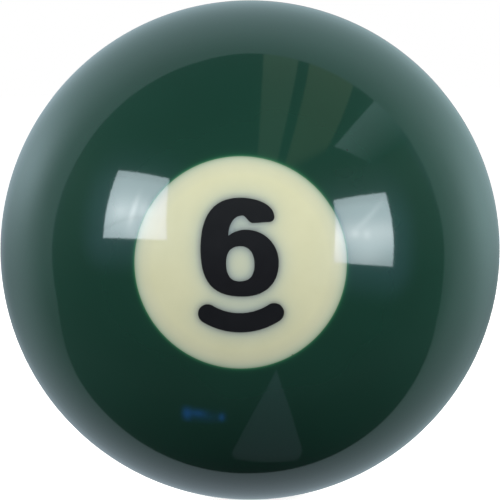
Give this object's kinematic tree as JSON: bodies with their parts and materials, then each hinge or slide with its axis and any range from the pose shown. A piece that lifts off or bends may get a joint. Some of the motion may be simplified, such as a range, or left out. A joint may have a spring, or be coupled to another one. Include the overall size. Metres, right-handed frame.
{
  "type": "pool ball",
  "caption": "Solid polished ball with a round number disc let flush into each side, each with a numeral and a curved bar under it.",
  "frame": {"origin": "centre of the ball", "axes": "-Y out through the middle of the front number disc, +Z towards the top of both numbers, +X to the right as the front number is read"},
  "size_m": [0.0572, 0.0572, 0.0572],
  "materials": {
    "green_resin": "polished cast phenolic resin",
    "ivory_resin": "polished cast phenolic resin, slightly translucent",
    "black_resin": "polished cast phenolic resin"
  },
  "bodies": {
    "root": {"body": "green_resin", "number_disc_front": "ivory_resin", "numeral_front": "black_resin", "underline_front": "black_resin", "number_disc_back": "ivory_resin", "numeral_back": "black_resin", "underline_back": "black_resin"}
  },
  "joints": []
}
